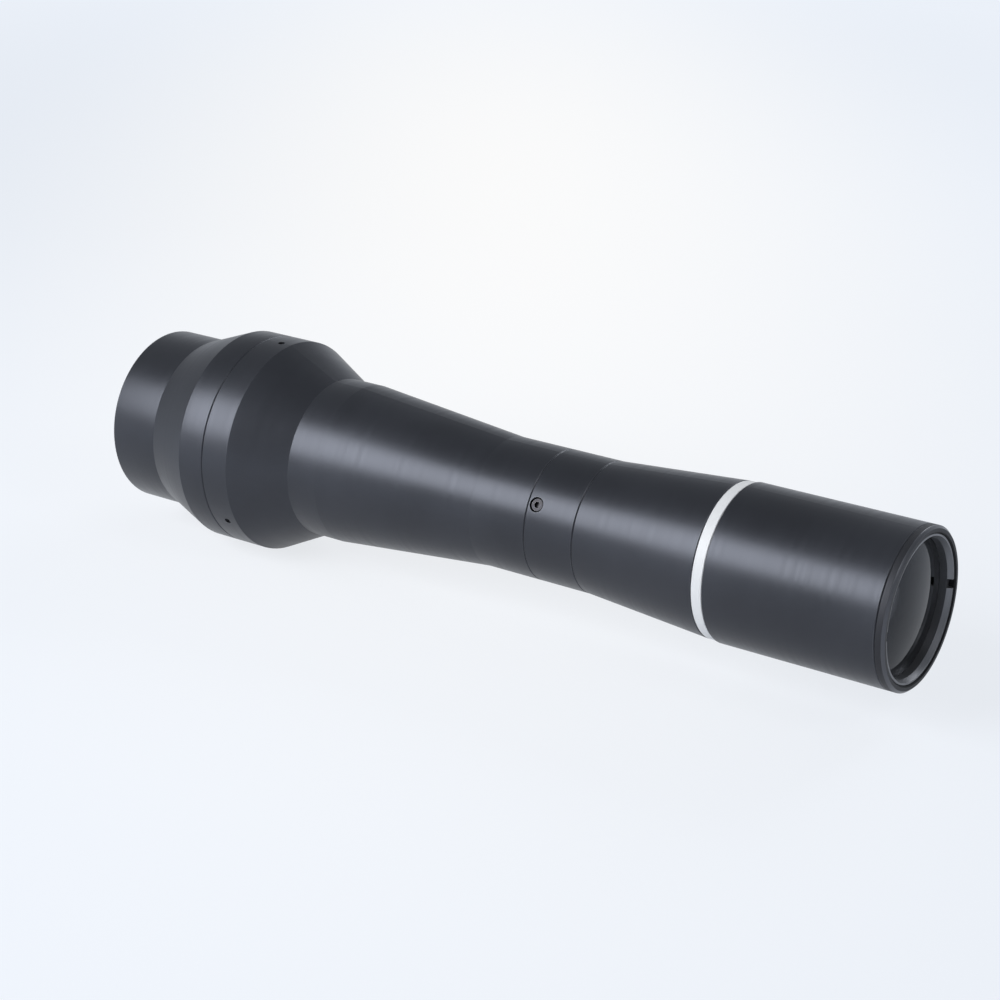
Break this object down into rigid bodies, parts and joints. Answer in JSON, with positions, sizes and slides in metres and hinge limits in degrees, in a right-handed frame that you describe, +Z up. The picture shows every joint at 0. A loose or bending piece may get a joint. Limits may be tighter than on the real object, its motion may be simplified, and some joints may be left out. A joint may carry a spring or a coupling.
{
  "type": "telecentric lens",
  "caption": "Long black telecentric lens with a flared camera mount, a slim waist at the aperture stop, a pale marking ring and a recessed front glass.",
  "frame": {"origin": "centre of the camera mount's rear end, on the optical axis", "axes": "+X along the optical axis from the camera to the front glass, +Z up through the first set screw"},
  "size_m": [0.39, 0.096, 0.096],
  "materials": {
    "black_anodised": "satin black anodised, fine turned",
    "matte_black": "matte black anodised",
    "white_ring": "smooth white",
    "coated_glass": "polished, antireflection coated",
    "clear_glass": "polished",
    "black_steel": "black oxide"
  },
  "bodies": {
    "mount": {"camera_mount": "black_anodised"},
    "lens": {"rear_body": "black_anodised", "stop_housing": "black_anodised", "flare_barrel": "black_anodised", "marking_ring": "white_ring", "front_barrel": "black_anodised", "front_bezel": "black_anodised", "front_retaining_ring": "matte_black", "front_crown_lens": "coated_glass", "front_flint_lens": "clear_glass", "front_spacer": "matte_black", "front_inner_lens": "clear_glass", "aperture_stop": "matte_black", "aperture_retaining_ring": "matte_black", "rear_retaining_ring": "matte_black", "rear_crown_lens": "coated_glass", "rear_flint_lens": "clear_glass", "rear_spacer": "matte_black", "rear_inner_lens": "clear_glass", "mount_set_screw_1": "black_steel", "mount_set_screw_2": "black_steel", "mount_set_screw_3": "black_steel", "housing_screw_1": "black_steel", "housing_screw_2": "black_steel", "housing_screw_3": "black_steel"}
  },
  "joints": [
    {"name": "mount_rotation", "type": "hinge", "parent": "mount", "child": "lens", "pos_m": [0.0715, 0, 0], "axis": [1, 0, 0], "continuous": true}
  ]
}
